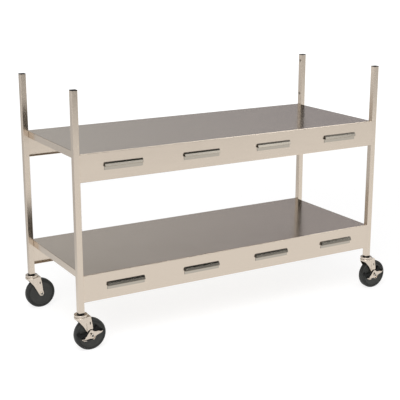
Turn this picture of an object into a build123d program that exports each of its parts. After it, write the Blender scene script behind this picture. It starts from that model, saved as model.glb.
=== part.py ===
from build123d import *
import os

os.makedirs("parts", exist_ok=True)

# A two-deck stainless breakfast cart on four swivel casters, in millimetres.
# +Z is up, the front of the cart faces -Y, and the wheels stand on z = 0.
# The origin is under the middle of everything, casters included.

# Frame
cart_length = 1500.0
cart_depth = 581.0
post_width = 25.4
post_wall = 1.6
post_corner_radius = 2.0

# Heights up the posts: foot to the lower apron, deck to deck, and upper deck to the tubes' tops
post_stub = 42.0
deck_spacing = 495.0
post_rise = 247.0

# Post caps
cap_thickness = 3.0
cap_edge_radius = 1.0
cap_plug_depth = 14.0
cap_plug_gap = 0.3
cap_plug_wall = 2.0

# Shelf pans, bent from one sheet
sheet = 1.2
bend_radius = 3.0
apron_height = 114.3
apron_return = 19.0
end_flange_height = 29.0

# Hat-section stiffeners under each deck
stiffener_offset = 115.0
stiffener_crown = 32.0
stiffener_height = 24.0
stiffener_flange = 14.0
stiffener_end_gap = 4.0

# Order-slip rails on the front aprons
rail_count = 4
rail_length = 170.0
rail_row_inset = 101.4
rail_channel_inset = 1.0
rail_drop = 42.3
rail_height = 31.2
rail_base = 1.5
rail_wall = 1.3
rail_top_reach = 3.0
rail_shoulder_reach = 7.9
rail_shoulder_drop = 5.6
rail_reach = 11.3
rail_face_bottom = 15.0
rail_lip_reach = 9.5
rail_lip_drop = 16.6
rail_slot = 1.8

# Glass marbles in the rails
marble_radius = 3.175
marble_end_inset = 33.0

# Blind rivets through the rails and the apron
rivet_end_inset = 15.0
rivet_radius = 1.6
rivet_head_radius = 3.0
rivet_head_height = 1.0
rivet_drop = 6.4
rivet_tail_radius = 2.3
rivet_tail_length = 3.0

# Threaded inserts on the inner faces of the back posts
insert_top_drop = 27.4
insert_low_share = 0.22065
insert_radius = 4.95
insert_bore_radius = 3.2
insert_flange_radius = 6.5
insert_flange_thickness = 0.8
insert_length = 13.0
insert_bulge_radius = 6.2
insert_bulge_length = 4.0

# Wheels
wheel_radius = 67.2
wheel_width = 31.8
wheel_trail = 36.3
axle_drop = 97.2
tread_depth = 13.5
tread_shoulder = 7.0
hub_face_recess = 0.5
hub_boss_radius = 15.0
hub_boss_gap = 0.4
hub_edge_chamfer = 0.8

# Expander in the foot of each post
sleeve_radius = 10.8
sleeve_length = 48.0
sleeve_groove_depth = 0.8
sleeve_groove_width = 3.0
sleeve_groove_pitch = 9.0
sleeve_groove_count = 4
collar_width = 24.0
collar_corner_radius = 2.0
collar_height = 8.0
collar_edge_radius = 0.8

# Stem with the upper race and the kingpin
stem_radius = 5.55
stem_washer_radius = 9.5
stem_washer_thickness = 2.5
stem_nut_across = 14.0
stem_nut_height = 6.0
race_radius = 27.4
race_rim_drop = 6.1
race_rim_width = 2.5
race_rim_radius = 1.4
race_floor_radius = 16.5
race_skirt_drop = 12.8
race_skirt_wall = 2.0
race_ceiling_drop = 10.0
race_boss_radius = 17.0
race_boss_drop = 12.4
race_groove_outer = 25.0
kingpin_head_radius = 11.0
kingpin_head_thickness = 3.6
kingpin_head_chamfer = 1.0
swivel_gap = 0.35
running_gap = 0.05

# Ball ring in the swivel
ball_count = 22
ball_radius = 2.4
ball_ring_radius = 21.0

# Fork
crown_drop = 16.2
track_drop = 14.85
track_radius = 25.6
track_inner_radius = 17.6
fork_wall = 3.0
fork_half_width = 22.0
fork_nose_radius = 28.0
crown_right = 35.5
crown_edge_radius = 2.6
leg_tip_radius = 10.4
fork_outline = (
    (-30.0, -12.0),
    (-30.0, -23.6),
    (-20.0, -27.6),
    (0.0, -53.6),
    (26.6, -101.6),
    (46.6, -95.2),
    (43.6, -81.6),
    (41.0, -54.6),
    (35.5, -20.6),
    (35.5, -12.0),
)
slot_place = (31.2, -45.0)
slot_length = 12.0
slot_width = 4.2

# Axle and spanner bushing
axle_radius = 3.97
axle_thread_reach = 33.0
axle_head_across = 12.7
axle_head_height = 4.8
axle_nut_across = 12.7
axle_nut_height = 6.7
axle_end_chamfer = 0.7
hex_chamfer_share = 0.12
bushing_radius = 6.35

# Brake on the front casters: heights in the brake are from the axle
bar_gap = 1.4
bar_thickness = 1.6
bar_outline = (
    (-66.0, 11.0),
    (-64.3, 7.0),
    (-58.2, 2.5),
    (-52.0, -0.4),
    (-40.9, -1.1),
    (-34.6, -0.9),
    (-41.1, -5.8),
    (-42.8, -10.2),
    (-36.5, -12.5),
    (-26.0, -12.0),
    (-14.0, -11.0),
    (0.0, -13.0),
    (10.0, -6.0),
    (20.0, 2.0),
    (36.0, 8.0),
    (49.0, 14.5),
    (45.8, 18.3),
    (36.2, 18.8),
    (29.9, 23.2),
    (30.9, 29.3),
    (27.1, 36.4),
    (20.8, 39.3),
    (15.8, 35.6),
    (14.1, 29.7),
    (7.5, 24.7),
    (1.1, 22.9),
    (-6.8, 23.5),
    (-13.3, 19.7),
    (-19.2, 12.4),
    (-28.5, 16.0),
    (-33.5, 10.0),
    (-41.0, 10.0),
    (-50.0, 13.5),
    (-59.0, 18.0),
)
left_pad_edge = -41.0
right_pad_edge = 17.5
pad_rest_gap = 1.3
lever_gap = 0.4
lever_thickness = 2.2
lever_outline = (
    (-46.7, -13.0),
    (-38.7, -17.8),
    (-26.0, -18.8),
    (-18.5, -13.7),
    (-13.0, -14.3),
    (-8.4, -12.2),
    (-3.9, -16.8),
    (2.5, -17.3),
    (8.1, -14.8),
    (11.0, -10.0),
    (14.5, -4.9),
    (20.5, -2.0),
    (28.0, 1.0),
    (37.4, 4.1),
    (43.0, 6.6),
    (47.9, 15.4),
    (37.6, 12.6),
    (28.4, 15.4),
    (19.2, 14.5),
    (11.8, 14.9),
    (4.0, 19.1),
    (1.0, 23.0),
    (-5.4, 23.4),
    (-10.1, 19.9),
    (-14.8, 13.6),
    (-19.6, 7.4),
    (-23.5, 0.1),
    (-29.5, -4.1),
    (-30.8, -9.2),
    (-35.8, -11.2),
    (-43.9, -10.5),
)
lever_corner_radius = 0.8
lever_window_place = (-5.5, 9.5)
lever_window_radius = 3.6
lever_tread_width = 3.6
left_tread = ((-43.0, -15.2), (-38.7, -17.8), (-26.0, -18.8), (-24.4, -17.7), (-26.4, -16.2), (-37.9, -15.3))
right_tread = ((28.4, 13.0), (37.6, 10.2), (45.6, 13.4), (47.0, 15.1), (37.6, 12.6), (28.4, 15.4))
lever_tab = ((2.6, -17.2), (8.1, -14.8), (11.0, -10.0), (14.0, -5.5), (12.2, -5.3), (6.9, -13.0), (2.3, -15.2))
lever_head_gap = 0.4

# How far a cutting body runs past what it cuts
cut_overrun = 5.0

# Derived places
cart_centre_x = -wheel_trail
post_foot_height = wheel_radius + axle_drop
lower_deck_height = post_foot_height + post_stub + apron_height
upper_deck_height = lower_deck_height + deck_spacing
post_top_height = upper_deck_height + post_rise
insert_heights = (post_rise * insert_low_share, post_rise - insert_top_drop)
post_bore = post_width - 2 * post_wall
post_bore_radius = post_corner_radius - post_wall
post_reach_x = cart_length / 2 - post_width / 2
post_reach_y = cart_depth / 2 - post_width / 2
shelf_length = cart_length - 2 * post_width
rail_pitch = (shelf_length - 2 * rail_row_inset - rail_length) / (rail_count - 1)
rivet_offsets = (rivet_end_inset - rail_length / 2, rail_length / 2 - rivet_end_inset)
marble_offsets = (marble_end_inset - rail_length / 2, 0, rail_length / 2 - marble_end_inset)
leg_inner = fork_half_width - fork_wall
bar_inner = fork_half_width + bar_gap
bar_outer = bar_inner + bar_thickness
lever_inner = bar_outer + lever_gap
lever_outer = lever_inner + lever_thickness
brake_head_inner = lever_outer + lever_head_gap

corners = {
    "front_left": (-1, -1),
    "front_right": (1, -1),
    "back_left": (-1, 1),
    "back_right": (1, 1),
}


def save(name, shape):
    export_step(shape, f"parts/{name}.step")


def block(x_from, x_to, y_from, y_to, z_from, z_to):
    size_x = x_to - x_from
    size_y = y_to - y_from
    size_z = z_to - z_from
    middle = Pos((x_from + x_to) / 2, (y_from + y_to) / 2, (z_from + z_to) / 2)
    return middle * Box(size_x, size_y, size_z)


def rod_z(radius, z_from, z_to):
    return Pos(0, 0, (z_from + z_to) / 2) * Cylinder(radius, z_to - z_from)


def rod_y(radius, y_from, y_to):
    return Pos(0, (y_from + y_to) / 2, 0) * Rot(90, 0, 0) * Cylinder(radius, y_to - y_from)


def plate_y(outline, y_from, y_to):
    # A flat plate with its outline in X and Z, between two depths.
    face = Plane.XZ * Polygon(*outline, align=None)
    return Pos(0, y_to, 0) * extrude(face, amount=y_to - y_from, dir=(0, -1, 0))


def hex_y(across, y_from, y_to):
    # Hexagonal head or nut along Y, with its corners turned off a little at both ends.
    corner_radius = across / 3**0.5
    chamfer_size = across * hex_chamfer_share
    face = Plane.XZ * RegularPolygon(corner_radius, 6)
    prism = Pos(0, y_to, 0) * extrude(face, amount=y_to - y_from)
    turned = chamfer(rod_y(corner_radius, y_from, y_to).edges().filter_by(GeomType.CIRCLE), chamfer_size / 2)
    return prism & turned


def corner_place(corner):
    side_x, side_y = corners[corner]
    return cart_centre_x + side_x * post_reach_x, side_y * post_reach_y


def insert_places():
    places = []
    for corner in ("back_left", "back_right"):
        side_x = corners[corner][0]
        x, y = corner_place(corner)
        for height in insert_heights:
            places.append((x - side_x * post_width / 2, y, upper_deck_height + height, -side_x))
    return places


def rail_places():
    places = []
    for deck, deck_height in (("upper", upper_deck_height), ("lower", lower_deck_height)):
        for index in range(rail_count):
            x = cart_centre_x + (index - (rail_count - 1) / 2) * rail_pitch
            places.append((f"slip_rail_{deck}_{index + 1}", x, deck_height - rail_drop))
    return places


# Frame pieces


def make_post(corner):
    x, y = corner_place(corner)
    section = RectangleRounded(post_width, post_width, post_corner_radius)
    section -= RectangleRounded(post_bore, post_bore, post_bore_radius)
    post = Pos(x, y, post_foot_height) * extrude(section, amount=post_top_height - post_foot_height)
    for place_x, place_y, place_z, facing in insert_places():
        if abs(place_x - x) < post_width and place_y == y:
            hole = Rot(0, 90, 0) * Cylinder(insert_radius, 2 * (post_wall + cut_overrun))
            post -= Pos(place_x, place_y, place_z) * hole
    return post


def make_cap(corner):
    x, y = corner_place(corner)
    top = extrude(RectangleRounded(post_width, post_width, post_corner_radius), amount=cap_thickness)
    top = fillet(top.edges().group_by(Axis.Z)[-1], cap_edge_radius)
    plug_width = post_bore - 2 * cap_plug_gap
    plug = RectangleRounded(plug_width, plug_width, post_bore_radius)
    plug -= Rectangle(plug_width - 2 * cap_plug_wall, plug_width - 2 * cap_plug_wall)
    cap = top + extrude(plug, amount=-cap_plug_depth)
    return Pos(x, y, post_top_height) * cap


def make_insert(facing):
    flange = rod_z(insert_flange_radius, 0, insert_flange_thickness)
    body = rod_z(insert_radius, -insert_length, 0)
    bulge = rod_z(insert_bulge_radius, -post_wall - insert_bulge_length, -post_wall)
    insert = flange + body + bulge
    insert -= rod_z(insert_bore_radius, -insert_length - cut_overrun, insert_flange_thickness + cut_overrun)
    return Rot(0, 90 * facing, 0) * insert


def make_inserts():
    return Compound([Pos(x, y, z) * make_insert(facing) for x, y, z, facing in insert_places()])


# Shelves


def pan_block(length, depth, height, radius):
    # A block with rounded long edges, its upper end edges rounded too, centred under z = 0.
    along = Pos(0, -apron_height / 2) * RectangleRounded(depth, height, radius)
    across = Pos(0, -apron_height) * RectangleRounded(length, height + apron_height, radius)
    bar = extrude(Plane.YZ * along, amount=length / 2, both=True)
    return bar & extrude(Plane.XZ * across, amount=depth / 2, both=True)


def make_shelf(deck_height):
    outer = pan_block(shelf_length, cart_depth, apron_height, bend_radius)
    inner = pan_block(
        shelf_length - 2 * sheet,
        cart_depth - 2 * sheet,
        apron_height - 2 * sheet,
        bend_radius - sheet,
    )
    pan = outer - inner
    reach = shelf_length / 2 + cut_overrun
    mouth = cart_depth / 2 - apron_return
    pan -= block(-reach, reach, -mouth, mouth, -apron_height - cut_overrun, -apron_height + bend_radius)
    within = cart_depth / 2 - sheet
    pan -= block(-reach, reach, -within, within, -apron_height + sheet, -end_flange_height)
    shelf = Pos(cart_centre_x, 0, deck_height) * pan
    for name, x, top in rail_places():
        for offset in rivet_offsets:
            if abs(deck_height - rail_drop - top) < rail_height:
                hole = rod_y(rivet_radius, -sheet - cut_overrun, sheet + cut_overrun)
                shelf -= Pos(x + offset, -cart_depth / 2, top - rivet_drop) * hole
    return shelf


def make_stiffeners(deck_height):
    top = -sheet
    foot = top - stiffener_height
    half = stiffener_crown / 2
    crown = Pos(0, foot + sheet / 2) * Rectangle(stiffener_crown, sheet)
    section = crown
    for side in (-1, 1):
        web_middle = side * (half - sheet / 2)
        flange_middle = side * (half + stiffener_flange / 2 - sheet / 2)
        section += Pos(web_middle, (top + foot) / 2) * Rectangle(sheet, stiffener_height)
        section += Pos(flange_middle, top - sheet / 2) * Rectangle(stiffener_flange + sheet, sheet)
    length = shelf_length - 2 * (sheet + stiffener_end_gap)
    hat = extrude(Plane.YZ * section, amount=length / 2, both=True)
    return Compound([
        Pos(cart_centre_x, side * stiffener_offset, deck_height) * hat for side in (-1, 1)
    ])


# Order-slip rails, drawn outward from the apron and down from their own top


def make_rail(x, top):
    back = Polygon(
        (0, 0),
        (-rail_base, 0),
        (-rail_base, -rail_height),
        (0, -rail_height),
        align=None,
    )
    wall_back = rail_wall - rail_base
    channel = Polygon(
        (wall_back, 0),
        (-rail_top_reach, 0),
        (-rail_shoulder_reach, -rail_shoulder_drop),
        (-rail_reach, -rail_face_bottom),
        (-rail_lip_reach, -rail_lip_drop),
        (wall_back, -rail_lip_drop),
        align=None,
    )
    hollow = offset(channel, -rail_wall, kind=Kind.INTERSECTION)
    slot = Polygon(
        (-rail_base, -rail_lip_drop + rail_wall),
        (-rail_base, -rail_lip_drop - cut_overrun),
        (-rail_base - rail_slot, -rail_lip_drop - cut_overrun),
        (-rail_base - rail_slot, -rail_lip_drop + rail_wall),
        align=None,
    )
    rail = extrude(Plane.YZ * back, amount=rail_length / 2, both=True)
    half_channel = rail_length / 2 - rail_channel_inset
    rail += extrude(Plane.YZ * (channel - hollow - slot), amount=half_channel, both=True)
    for place in rivet_offsets:
        rail -= Pos(place, 0, -rivet_drop) * rod_y(rivet_radius, -rail_base, 0)
    return Pos(x, -cart_depth / 2, top) * rail


def make_marbles():
    rest_y = -cart_depth / 2 - rail_base - marble_radius
    rest_drop = rail_lip_drop - rail_wall - marble_radius
    marbles = []
    for name, x, top in rail_places():
        for offset in marble_offsets:
            marbles.append(Pos(x + offset, rest_y, top - rest_drop) * Sphere(marble_radius))
    return Compound(marbles)


def make_rivet():
    head = rod_y(rivet_head_radius, -rail_base - rivet_head_height, -rail_base)
    shank = rod_y(rivet_radius, -rail_base, sheet)
    tail = rod_y(rivet_tail_radius, sheet, sheet + rivet_tail_length)
    return head + shank + tail


def make_rivets():
    rivet = make_rivet()
    rivets = []
    for name, x, top in rail_places():
        for offset in rivet_offsets:
            rivets.append(Pos(x + offset, -cart_depth / 2, top - rivet_drop) * rivet)
    return Compound(rivets)


# Casters, drawn about the stem's line with z = 0 at the foot of the post


def make_expander():
    sleeve = rod_z(sleeve_radius, 0, sleeve_length)
    for index in range(sleeve_groove_count):
        foot = (index + 1) * sleeve_groove_pitch
        ring = rod_z(sleeve_radius + cut_overrun, foot, foot + sleeve_groove_width)
        ring -= rod_z(sleeve_radius - sleeve_groove_depth, foot, foot + sleeve_groove_width)
        sleeve -= ring
    collar = extrude(
        RectangleRounded(collar_width, collar_width, collar_corner_radius), amount=-collar_height
    )
    collar = fillet(collar.edges().group_by(Axis.Z)[0], collar_edge_radius)
    return sleeve + collar - rod_z(stem_radius, -collar_height - cut_overrun, sleeve_length + cut_overrun)


def make_stem():
    dish = Polygon(
        (0, -collar_height),
        (race_floor_radius, -collar_height),
        (race_radius - race_rim_width - race_rim_radius, -race_rim_drop),
        (race_radius, -race_rim_drop),
        (race_radius, -race_skirt_drop),
        (race_radius - race_skirt_wall, -race_skirt_drop),
        (race_groove_outer, -race_ceiling_drop),
        (race_boss_radius, -race_ceiling_drop),
        (race_boss_radius, -race_boss_drop),
        (0, -race_boss_drop),
        align=None,
    )
    race = revolve(Plane.XZ * dish, Axis.Z)
    race = fillet(race.edges().filter_by(GeomType.CIRCLE).group_by(Axis.Z)[-1].sort_by(SortBy.RADIUS)[-1],
                  race_rim_radius)
    washer_foot = sleeve_length
    nut_foot = washer_foot + stem_washer_thickness
    nut_top = nut_foot + stem_nut_height
    head_top = -crown_drop - fork_wall - swivel_gap
    head = rod_z(kingpin_head_radius, head_top - kingpin_head_thickness, head_top)
    head = chamfer(head.edges().filter_by(GeomType.CIRCLE).group_by(Axis.Z)[0], kingpin_head_chamfer)
    nut = Pos(0, 0, nut_foot) * extrude(RegularPolygon(stem_nut_across / 3**0.5, 6), amount=stem_nut_height)
    stem = race + rod_z(stem_radius, head_top, nut_top)
    return stem + rod_z(stem_washer_radius, washer_foot, nut_foot) + nut + head


def make_balls():
    drop = track_drop - ball_radius
    places = [Rot(0, 0, 360 * index / ball_count) * Pos(ball_ring_radius, 0, -drop) for index in range(ball_count)]
    return Compound([place * Sphere(ball_radius) for place in places])


def fork_plan(nose_radius, half_width, right_edge):
    # The fork seen from above: round about the stem, then straight back over the wheel.
    tail = Pos(right_edge / 2, 0) * Rectangle(right_edge, 2 * half_width)
    return Circle(nose_radius) + tail


def make_fork():
    leg_foot = axle_drop + leg_tip_radius
    right_edge = crown_right + 2 * leg_tip_radius
    nose = rod_z(fork_nose_radius, -leg_foot, -crown_drop)
    nose = fillet(nose.edges().filter_by(GeomType.CIRCLE).group_by(Axis.Z)[-1], crown_edge_radius)
    tail = block(0, right_edge, -fork_half_width, fork_half_width, -leg_foot, -crown_drop)
    tail = fillet(tail.edges().filter_by(Axis.X).group_by(Axis.Z)[-1], crown_edge_radius)
    shell = nose + tail
    inside = fork_plan(fork_nose_radius - fork_wall, leg_inner, right_edge + cut_overrun)
    hollow_top = -crown_drop - fork_wall
    hollow = Pos(0, 0, -leg_foot - cut_overrun) * extrude(inside, amount=leg_foot + cut_overrun + hollow_top)
    reach = fork_nose_radius + cut_overrun
    side = plate_y(fork_outline, -reach, reach)
    side += Pos(wheel_trail, 0, -axle_drop) * rod_y(leg_tip_radius, -reach, reach)
    fork = (shell - hollow) & side
    track = rod_z(track_radius, -crown_drop, -track_drop) - rod_z(track_inner_radius, -crown_drop, -track_drop)
    fork += track
    fork -= rod_z(stem_radius + running_gap, -crown_drop - fork_wall - cut_overrun, -crown_drop + cut_overrun)
    fork -= Pos(wheel_trail, 0, -axle_drop) * rod_y(axle_radius, -reach, reach)
    slot_face = Plane.XZ * SlotOverall(slot_length, slot_width, rotation=90)
    slot = Pos(slot_place[0], reach, slot_place[1]) * extrude(slot_face, amount=2 * reach)
    return fork - slot


def axle_frame():
    return Pos(wheel_trail, 0, -axle_drop)


def make_axle(head_inner):
    shank = rod_y(axle_radius, -head_inner, axle_thread_reach)
    shank = chamfer(shank.edges().filter_by(GeomType.CIRCLE).group_by(Axis.Y)[-1], axle_end_chamfer)
    head = hex_y(axle_head_across, -head_inner - axle_head_height, -head_inner)
    nut = hex_y(axle_nut_across, fork_half_width, fork_half_width + axle_nut_height)
    return axle_frame() * (shank + head + nut)


def make_bushing():
    tube = rod_y(bushing_radius, -leg_inner, leg_inner)
    return axle_frame() * (tube - rod_y(axle_radius, -leg_inner, leg_inner))


def make_hub():
    half_width = wheel_width / 2 - hub_face_recess
    half_boss = leg_inner - hub_boss_gap
    core = rod_y(wheel_radius - tread_depth, -half_width, half_width)
    core = chamfer(core.edges().filter_by(GeomType.CIRCLE), hub_edge_chamfer)
    hub = core + rod_y(hub_boss_radius, -half_boss, half_boss)
    hub -= rod_y(bushing_radius + running_gap, -half_boss - cut_overrun, half_boss + cut_overrun)
    return axle_frame() * hub


def make_tyre():
    half_width = wheel_width / 2
    ring = rod_y(wheel_radius, -half_width, half_width)
    ring = fillet(ring.edges().filter_by(GeomType.CIRCLE), tread_shoulder)
    seat = rod_y(wheel_radius - tread_depth, -half_width - cut_overrun, half_width + cut_overrun)
    return axle_frame() * (ring - seat)


def make_brake_bar():
    plate = plate_y(bar_outline, -bar_outer, -bar_inner)
    pad_face = wheel_width / 2 + pad_rest_gap
    pads = plate_y(bar_outline, -bar_outer, -pad_face)
    reach = wheel_radius + cut_overrun
    between = block(left_pad_edge, right_pad_edge, -bar_inner, -pad_face + cut_overrun, -reach, reach)
    bar = plate + (pads - between)
    bar -= rod_y(axle_radius + running_gap, -bar_outer - cut_overrun, -pad_face + cut_overrun)
    return axle_frame() * bar


def make_brake_lever():
    lever = plate_y(lever_outline, -lever_outer, -lever_inner)
    lever = fillet(lever.edges().filter_by(Axis.Y), lever_corner_radius)
    for tread in (left_tread, right_tread, lever_tab):
        lever += plate_y(tread, -lever_outer - lever_tread_width, -lever_inner)
    lever -= rod_y(axle_radius + running_gap, -lever_outer - cut_overrun, -lever_inner + cut_overrun)
    window = rod_y(lever_window_radius, -lever_outer - cut_overrun, -lever_inner + cut_overrun)
    lever -= Pos(lever_window_place[0], 0, lever_window_place[1]) * window
    return axle_frame() * lever


def save_caster(corner):
    x, y = corner_place(corner)
    place = Pos(x, y, post_foot_height)
    braked = corner.startswith("front")
    head_inner = brake_head_inner if braked else fork_half_width
    save(f"{corner}_expander", place * make_expander())
    save(f"{corner}_stem", place * make_stem())
    save(f"{corner}_balls", place * make_balls())
    save(f"{corner}_fork", place * make_fork())
    save(f"{corner}_axle", place * make_axle(head_inner))
    save(f"{corner}_bushing", place * make_bushing())
    save(f"{corner}_hub", place * make_hub())
    save(f"{corner}_tyre", place * make_tyre())
    if braked:
        save(f"{corner}_brake_bar", place * make_brake_bar())
        save(f"{corner}_brake_lever", place * make_brake_lever())


for corner in corners:
    save(f"post_{corner}", make_post(corner))
    save(f"post_cap_{corner}", make_cap(corner))
    save_caster(corner)

save("upper_shelf", make_shelf(upper_deck_height))
save("lower_shelf", make_shelf(lower_deck_height))
save("upper_stiffeners", make_stiffeners(upper_deck_height))
save("lower_stiffeners", make_stiffeners(lower_deck_height))
save("rivet_nuts", make_inserts())
save("slip_rail_marbles", make_marbles())
save("slip_rail_rivets", make_rivets())
for name, x, top in rail_places():
    save(name, make_rail(x, top))
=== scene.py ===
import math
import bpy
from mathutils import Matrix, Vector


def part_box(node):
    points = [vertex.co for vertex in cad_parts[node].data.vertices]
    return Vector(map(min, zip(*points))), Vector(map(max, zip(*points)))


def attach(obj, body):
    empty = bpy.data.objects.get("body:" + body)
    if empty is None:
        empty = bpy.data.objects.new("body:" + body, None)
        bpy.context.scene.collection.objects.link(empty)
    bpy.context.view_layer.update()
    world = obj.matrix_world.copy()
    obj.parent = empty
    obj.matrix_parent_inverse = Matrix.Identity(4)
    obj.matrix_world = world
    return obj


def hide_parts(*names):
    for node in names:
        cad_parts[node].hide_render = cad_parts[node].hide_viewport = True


bl_info = {
    "name": "Breakfast cart",
    "version": (1, 0, 0),
    "blender": (4, 5, 0),
    "location": "3D View > Sidebar > Cart",
    "description": "Dresses a two-deck stainless breakfast cart on four swivel casters",
    "category": "Object",
}

import bmesh
import bpy
from mathutils import Euler, Matrix, Vector

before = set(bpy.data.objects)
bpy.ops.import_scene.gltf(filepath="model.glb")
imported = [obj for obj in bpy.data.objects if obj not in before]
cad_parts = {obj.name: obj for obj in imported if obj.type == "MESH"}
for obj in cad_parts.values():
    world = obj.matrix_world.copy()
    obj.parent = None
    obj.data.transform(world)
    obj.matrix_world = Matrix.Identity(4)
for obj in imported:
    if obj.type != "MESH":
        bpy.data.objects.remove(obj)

MM = 0.001
DECKS = ("upper", "lower")
CORNERS = ("front_left", "front_right", "back_left", "back_right")
BRAKED = ("front_left", "front_right")
RAILS = [f"slip_rail_{deck}_{place}" for deck in DECKS for place in (1, 2, 3, 4)]
# The shelves' sheet, and the slip rails' wall against the apron.
SHEET, RAIL_WALL = 1.2 * MM, 1.5 * MM
# Corners this near each other are one: across the seams of a CAD mesh, and in a mesh made here.
CAD_SEAM, SAME_PLACE = 0.002 * MM, 0.0001 * MM
# In degrees. Faces that turn by less than FLAT are one flat, and edges up to CREASE belong to a curve.
FLAT, CREASE = 0.6, 18


# Small tools


def tone(hex_code):
    """An sRGB hex value as a linear colour."""
    parts = [int(hex_code[index:index + 2], 16) / 255 for index in (1, 3, 5)]
    return [part / 12.92 if part <= 0.04045 else ((part + 0.055) / 1.055) ** 2.4 for part in parts] + [1.0]


def darker(colour, share):
    """A share of a colour's light."""
    return [part * share for part in colour[:3]] + [1.0]


def add(tree, kind, settings=None, links=None):
    """Adds a node, sets its settings, and fills its inputs with values or with other nodes' sockets."""
    node = tree.nodes.new(kind)
    for key, value in (settings or {}).items():
        setattr(node, key, value)
    for key, value in (links or {}).items():
        if isinstance(value, bpy.types.NodeSocket):
            tree.links.new(value, node.inputs[key])
        else:
            node.inputs[key].default_value = value
    return node


def blank_material(name):
    material = bpy.data.materials.new(name)
    material.use_nodes = True
    material.node_tree.nodes.clear()
    return material, material.node_tree


def centre_of(node):
    low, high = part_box(node)
    return (low + high) / 2


def span_of(node):
    low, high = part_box(node)
    return high - low


def mesh_of(shell, name):
    """The mesh that a bmesh holds, which is then freed."""
    mesh = bpy.data.meshes.new(name)
    shell.to_mesh(mesh)
    shell.free()
    return mesh


def shown(name, mesh):
    piece = bpy.data.objects.new(name, mesh)
    bpy.context.scene.collection.objects.link(piece)
    return piece


def smooth(mesh, angle):
    """Shades a mesh smooth, apart from edges that turn by more than angle, in degrees."""
    mesh.shade_smooth()
    mesh.set_sharp_from_angle(angle=math.radians(angle))


def settle(piece, name):
    """The piece with its modifiers worked into a plain mesh."""
    graph = bpy.context.evaluated_depsgraph_get()
    mesh = bpy.data.meshes.new_from_object(piece.evaluated_get(graph))
    mesh.name = name
    bpy.data.objects.remove(piece)
    return shown(name, mesh)


def dress(node, material):
    """Gives a CAD node a finish and leaves its mesh as it is."""
    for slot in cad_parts[node].material_slots:
        slot.material = material


def rounded_copy(node, name, width, material, body, least=40):
    """Puts a copy of a CAD node with its pressed or extruded edges broken in the node's place.

    Edges that turn by fewer degrees than least stay as they are, sharp where they turn by over CREASE."""
    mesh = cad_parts[node].data.copy()
    shell = bmesh.new()
    shell.from_mesh(mesh)
    bmesh.ops.remove_doubles(shell, verts=shell.verts, dist=CAD_SEAM)
    bmesh.ops.dissolve_limit(
        shell, angle_limit=math.radians(FLAT), verts=shell.verts, edges=shell.edges, delimit={"NORMAL"})
    for edge in shell.edges:
        edge.smooth = not CREASE < math.degrees(edge.calc_face_angle(0.0)) < least
    shell.to_mesh(mesh)
    shell.free()
    mesh.polygons.foreach_set("use_smooth", [True] * len(mesh.polygons))
    piece = shown(name, mesh)
    bevel = piece.modifiers.new("edges", "BEVEL")
    bevel.width = width
    bevel.segments = 2
    bevel.limit_method = "ANGLE"
    bevel.angle_limit = math.radians(least)
    # The flats keep their own normals, and the broken edges turn from one flat to the next.
    flats = piece.modifiers.new("flats", "WEIGHTED_NORMAL")
    flats.keep_sharp = True
    piece = settle(piece, name)
    piece.data.materials.clear()
    piece.data.materials.append(material)
    piece.data.polygons.foreach_set("material_index", [0] * len(piece.data.polygons))
    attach(piece, body)
    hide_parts(node)


def skin(name, rings, steps, closed=False):
    """A mesh skinned over rings about the Y axis.

    A ring is its place along Y, its radius or a function that gives it by angle, and the number of the
    finish from there to the next ring, 0 where none is given."""
    shell = bmesh.new()
    turns = [2 * math.pi * index / steps for index in range(steps)]
    loops = []
    for along, radius, *_ in rings:
        reach = radius if callable(radius) else (lambda turn, radius=radius: radius)
        loops.append([
            shell.verts.new((reach(turn) * math.cos(turn), along, reach(turn) * math.sin(turn)))
            for turn in turns
        ])
    for index in range(len(loops) if closed else len(loops) - 1):
        here, there = loops[index], loops[(index + 1) % len(loops)]
        for step in range(steps):
            after = (step + 1) % steps
            face = shell.faces.new((here[step], here[after], there[after], there[step]))
            face.material_index = rings[index][2] if len(rings[index]) > 2 else 0
    bmesh.ops.remove_doubles(shell, verts=shell.verts, dist=SAME_PLACE)
    bmesh.ops.recalc_face_normals(shell, faces=shell.faces)
    return mesh_of(shell, name)


def arc(middle_along, middle_radius, radius, first, last, count):
    """Rings along a rounded corner, first and last in degrees from the outward direction toward +Y."""
    rings = []
    for index in range(count + 1):
        turn = math.radians(first + (last - first) * index / count)
        rings.append((middle_along + radius * math.sin(turn), middle_radius + radius * math.cos(turn)))
    return rings


def both_sides(side):
    """The rings of one side of a wheel, and the same mirrored for its other side."""
    return side + [(-along, radius) for along, radius in reversed(side)]


def six_sided(across, limit=math.inf):
    """A hexagon's reach by angle, turned off where it would pass a round limit."""
    def reach(turn):
        within = (turn + math.pi / 6) % (math.pi / 3) - math.pi / 6
        return min(across / 2 / math.cos(within), limit)
    return reach


def threaded(core, depth, pitch, along):
    """A screw thread's reach by angle at one place along the screw."""
    def reach(turn):
        part = (along / pitch - turn / (2 * math.pi)) % 1.0
        return core + depth * (1 - abs(2 * part - 1))
    return reach


def points_mesh(name, places, turns=()):
    """A mesh of loose points, each with its turn where turns are given."""
    mesh = bpy.data.meshes.new(name)
    mesh.from_pydata([tuple(place) for place in places], [], [])
    if turns:
        turn = mesh.attributes.new("turn", "FLOAT_VECTOR", "POINT")
        turn.data.foreach_set("vector", [part for row in turns for part in row])
    return mesh


def grow(name, mesh, tree, values):
    """Runs a Geometry Nodes tree on a mesh, its inputs set by their identifiers, and keeps the result."""
    piece = shown(name, mesh)
    modifier = piece.modifiers.new("repeat", "NODES")
    modifier.node_group = tree
    for item in tree.interface.items_tree:
        if item.in_out == "INPUT" and item.name in values:
            modifier[item.identifier] = values[item.name]
    return settle(piece, name)


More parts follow.
